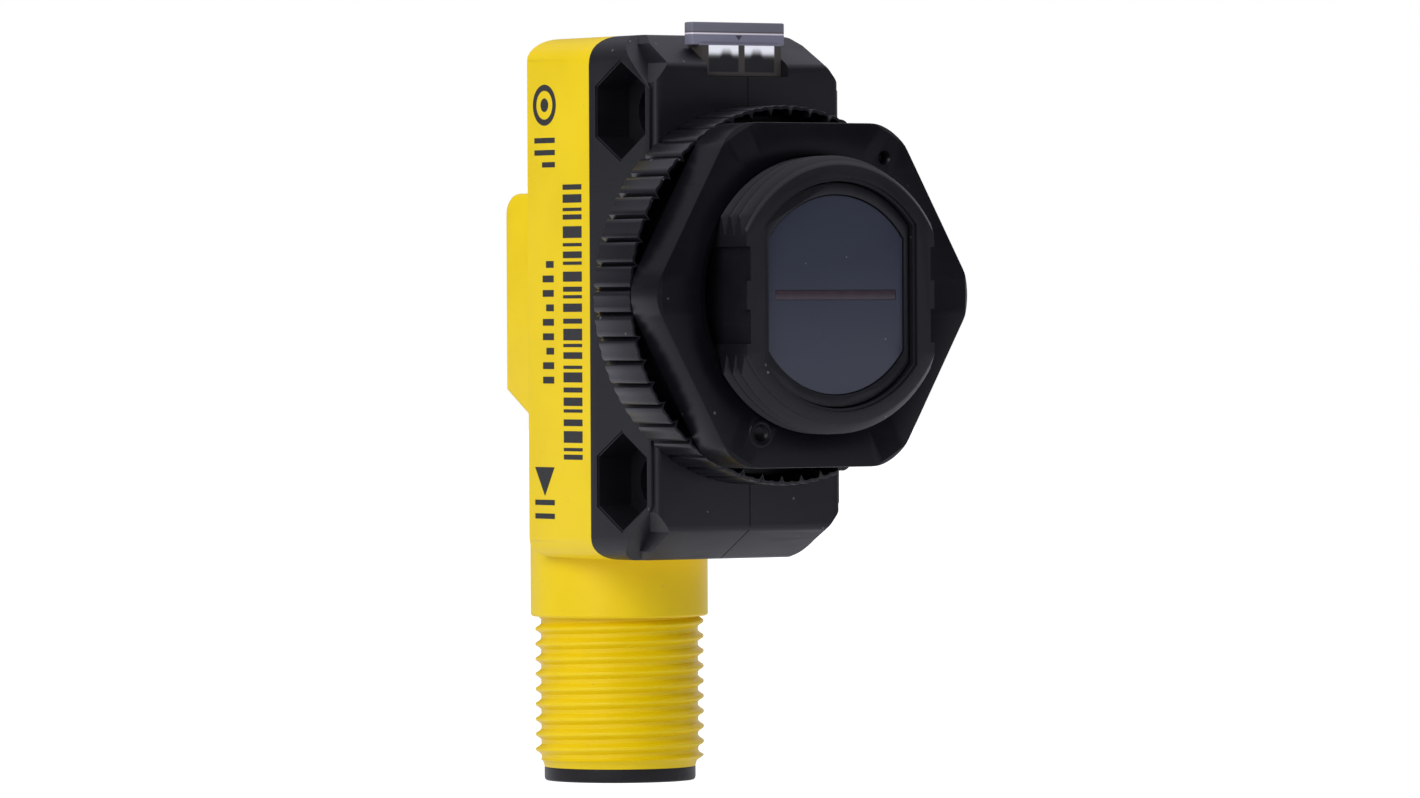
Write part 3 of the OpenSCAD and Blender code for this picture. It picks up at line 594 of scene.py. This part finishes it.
# ---- Connector ------------------------------------------------------------
# The M12 x 1 plug below the rear shell: a yellow thread moulded with it, a black insert
# whose ring closes the end, and four gold-plated pins in its socket.
PLUG_LOW, THREAD_START = -31.2, 97
INSERT_LOW, INSERT_TOP, SOCKET_R, SOCKET_TOP = -32.1, -20.6, 4.1, -23.7
plug_ridge = [(5.22, 0.0), (5.23, 0.14), (5.36, 0.27), (5.56, 0.39), (5.6, 0.45), (5.6, 0.55),
              (5.56, 0.61), (5.36, 0.73), (5.23, 0.86), (5.22, 1.0)]
plug = threaded(plug_ridge, COLLAR_LOW - PLUG_LOW)
bmesh.ops.rotate(plug, cent=(0, 0, 0), matrix=Matrix.Rotation(math.radians(THREAD_START), 3, "Z"),
                 verts=plug.verts)
tip = turned([(0, PLUG_LOW), (5.02, PLUG_LOW), (5.12, PLUG_LOW + 0.35), (6.2, PLUG_LOW + 1.15),
              (6.2, COLLAR_LOW), (0, COLLAR_LOW)], "z")
plug = combined(placed(plug, 0, PLUG_Y, PLUG_LOW), placed(tip, 0, PLUG_Y, 0), "INTERSECT")
plug = cut(plug, rod("z", INSERT_R, -40, -10, 0, PLUG_Y))
finished("plug_thread", plug, "housing", yellow_plastic, ["rear_housing"], sharp=40)

insert = turned([(SOCKET_R, INSERT_LOW), (4.9, INSERT_LOW), (5.0, INSERT_LOW + 0.08),
                 (5.03, INSERT_LOW + 0.23), (5.03, PLUG_LOW - 0.02), (INSERT_R - FIT, PLUG_LOW),
                 (INSERT_R - FIT, INSERT_TOP), (0, INSERT_TOP), (0, SOCKET_TOP),
                 (SOCKET_R, SOCKET_TOP), (SOCKET_R, INSERT_LOW)], "z")
key = rod("z", 0.6, PLUG_LOW + 0.1, SOCKET_TOP + 0.5, 0, PLUG_Y + SOCKET_R, 24)
insert = joined(placed(insert, 0, PLUG_Y, 0), key)
PIN_R, PIN_HOLE_R = 2.5 * math.cos(math.radians(45)), 0.52
for x in (-PIN_R, PIN_R):
    for y in (PLUG_Y - PIN_R, PLUG_Y + PIN_R):
        insert = cut(insert, rod("z", PIN_HOLE_R, -33, -20, x, y, 24))
finished("insert", insert, "housing", black_plastic, ["connector_insert"])

# ---- Light pipe -----------------------------------------------------------
# A frosted acrylic piece clipped into the top of the front shell. It brings the light of
# the two indicators to a bar on top and a window under it. Its look is painted into the
# material by height and by distance from the middle in millimetres: the windows are a
# painted reflection with a faint painted glow, the mouths under them are painted shade,
# and a painted highlight runs along the bar's edge.
clear_acrylic, shader, place = surface("clear_acrylic", {"IOR": 1.49, "Transmission Weight": 0.75,
                                                         "Roughness": 0.12})
feed(shader, {"Base Color": place.noise(3, 2).blend((0.62, 0.64, 0.68, 1), (0.86, 0.88, 0.92, 1))})
bar = rounded(block((-PIPE_W, 1.0, 16.3), (PIPE_W, 2.0, 17.8)), 0.1, 2, lambda mid, run: True)
glass = joined(bar, block((-PIPE_WINDOW_W, 0.7, 14.3), (PIPE_WINDOW_W, 2.3, 16.4)))
for x in (-LEG_X, LEG_X):
    glass = joined(glass, block((x - 0.75, 2.2, 14.4), (x + 0.75, 8.5, 15.4)))
frosted, shader, place = surface("frosted_acrylic", {"IOR": 1.49})
across_pipe, height = (place.node("SeparateXYZ", {}, {"Vector": place}, axis) * 1000 for axis in "XZ")
aside = across_pipe.maths("ABSOLUTE", across_pipe)
within = aside.band(0.2, 0.3) * (1 - aside.band(2.55, 2.65))
peak = 1 - (aside - 1.2).maths("ABSOLUTE", aside - 1.2).band(0.2, 0.6)
# The two bright windows are a painted reflection of the white room in the pipe's sloped faces.
painted_reflection_mask = within * (height - peak * 0.25).band(15.35, 16.0) * (1 - height.band(16.26, 16.32))
vee = (1 - (aside * 1.2 + (16.95 - height)).band(0.25, 0.4)) * (1 - height.band(16.9, 17.0))
# The near-black mouths under the windows are painted shade.
painted_shade_mouths = within * (1 - height.band(15.5, 15.8)) * height.band(14.5, 14.6)
lower = painted_shade_mouths.blend(painted_reflection_mask.blend((0.05, 0.043, 0.038, 1), (0.85, 0.87, 0.92, 1)),
                     (0.004, 0.004, 0.005, 1))
# A pale painted highlight along the edge of the bar.
painted_highlight_line = height.band(16.98, 17.03) * (1 - height.band(17.08, 17.13))
strip = height.band(17.1, 17.25).blend((0.07, 0.055, 0.06, 1), (0.15, 0.15, 0.18, 1))
upper = height.band(17.03, 17.07).blend(vee.blend((0.2, 0.2, 0.26, 1), (0.03, 0.03, 0.035, 1)), strip)
upper = painted_highlight_line.blend(upper, (0.8, 0.74, 0.78, 1))
feed(shader, {"Base Color": height.band(16.26, 16.32).blend(lower, upper),
              "Roughness": 0.3 + place.noise(1.5, 3) * 0.2,
              # A faint painted glow in the windows strengthens their painted reflection.
              "Emission Color": painted_reflection_mask.blend(grey(0), grey(0.22)), "Emission Strength": 1.0})
finished("light_guide", glass, "housing", frosted, ["light_pipe"])

# ---- Printing -------------------------------------------------------------
# Black pad-printed marks on the yellow side: a bar code, a row of ticks and two plain
# pictograms. The ink stands about a hundredth of a millimetre proud.
ink, shader, place = surface("black_ink", {"IOR": 1.45})
feed(shader, {"Base Color": place.noise(0.3, 3).blend((0.012, 0.012, 0.014, 1), (0.03, 0.03, 0.03, 1)),
              "Roughness": 0.5 + place.noise(0.6, 2) * 0.2})
INK_X = (-HALF_W - 0.012, -HALF_W + 0.01)


def bar_mark(y0, y1, z0, z1):
    return block((INK_X[0], y0, z0), (INK_X[1], y1, z1))


marks = bar_mark(8.3, 10.5, 7.0, 7.35)
level, UNIT = 6.7, 0.11
for width, gap in ((5, 3), (2, 2), (3, 4), (7, 3), (2, 3), (4, 2), (2, 4), (6, 3),
                   (3, 2), (2, 3), (5, 4), (3, 3), (7, 2), (2, 3), (4, 4), (2, 2),
                   (6, 3), (3, 3), (5, 2), (2, 4), (4, 3), (7, 3), (2, 2), (3, 3)):
    marks = joined(marks, bar_mark(8.3, 10.5, level - width * UNIT, level))
    level -= (width + gap) * UNIT
for i in range(9):
    marks = joined(marks, bar_mark(11.6, 12.9 if i % 3 else 12.5, 1.9 - i * 0.95, 2.35 - i * 0.95))
ring = cut(rod("x", 1.35, *INK_X, 12.6, 12.6, 48), rod("x", 0.95, -9, -6, 12.6, 12.6, 48))
marks = joined(marks, ring, rod("x", 0.45, *INK_X, 12.6, 12.6, 32), bar_mark(11.4, 13.8, 10.1, 10.45),
               bar_mark(11.4, 13.8, 9.3, 9.65), bar_mark(11.4, 12.9, 8.5, 8.85))
marks = joined(marks, prism([(11.6, -11.2), (13.9, -11.2), (12.75, -13.1)], "x", *INK_X),
               bar_mark(11.6, 13.9, -13.7, -13.35), bar_mark(11.6, 13.9, -14.6, -14.25))
finished("printing", marks, "housing", ink)

# ---- Inside and trimmer ---------------------------------------------------
# What the shells hide: optics, seals, the board with its components, and the screwdriver
# trimmer that shows in the hump's recess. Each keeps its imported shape.


def finish_nodes(finish, *names):
    for name in names:
        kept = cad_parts[name].data.materials
        kept.clear()
        kept.append(finish)


def simple(name, dark, light, gloss, size, fixed=None, depth=0.000005):
    """A plain finish with soft blotches and a fine grain."""
    made, shader, place = surface(name, fixed or {})
    blotch = place.noise(size, 3)
    feed(shader, {"Base Color": blotch.blend((*dark, 1), (*light, 1)), "Roughness": gloss + blotch * 0.1,
                  "Normal": place.node("Bump", {}, {"Height": place.noise(size / 8, 2), "Strength": 0.4,
                                                    "Distance": depth})})
    return made


METAL = {"Metallic": 1.0}
finish_nodes(black_plastic, "optical_block")
finish_nodes(clear_acrylic, "receiver_lens", "emitter_lens")
finish_nodes(red_edge, "light_divider")
for nodes, *look in (
        (("housing_gasket", "window_seal"), "seal_rubber", (0.018,) * 3, (0.035,) * 3, 0.7, 1.5),
        (("receiver_polariser", "emitter_polariser"), "polariser_film", (0.03, 0.035, 0.045),
         (0.04, 0.046, 0.06), 0.15, 4),
        (("receiver_shield", "pin_leads"), "tin_plate", (0.55, 0.55, 0.53), (0.75, 0.75, 0.73), 0.28, 1.2,
         METAL),
        (("control_chips", "photodiode"), "chip_epoxy", (0.012, 0.012, 0.013), (0.03, 0.03, 0.032),
         0.55, 0.5),
        (("emitter_led",), "red_resin", (0.6, 0.3, 0.28), (0.75, 0.42, 0.4), 0.2, 2),
        (("power_led",), "green_resin", (0.06, 0.42, 0.1), (0.12, 0.6, 0.16), 0.2, 2),
        (("output_led",), "amber_resin", (0.8, 0.4, 0.03), (0.95, 0.55, 0.08), 0.2, 2),
        (("circuit_board",), "solder_mask", (0.008, 0.09, 0.03), (0.015, 0.15, 0.05), 0.3, 1.0),
        (("chip_passives",), "ceramic", (0.25, 0.17, 0.09), (0.4, 0.29, 0.17), 0.5, 0.4),
        (("trimmer_body",), "blue_nylon", (0.03, 0.08, 0.35), (0.05, 0.12, 0.45), 0.4, 1.5),
        (("trimmer_rotor",), "rotor_nylon", (0.75, 0.75, 0.7), (0.88, 0.88, 0.83), 0.42, 1.5),
        (("trimmer_seal",), "red_silicone", (0.4, 0.06, 0.04), (0.55, 0.1, 0.06), 0.6, 1.0),
        (("contact_pins",), "gold_plate", (0.78, 0.56, 0.2), (0.9, 0.68, 0.3), 0.22, 0.8, METAL)):
    finish_nodes(simple(*look), *nodes)
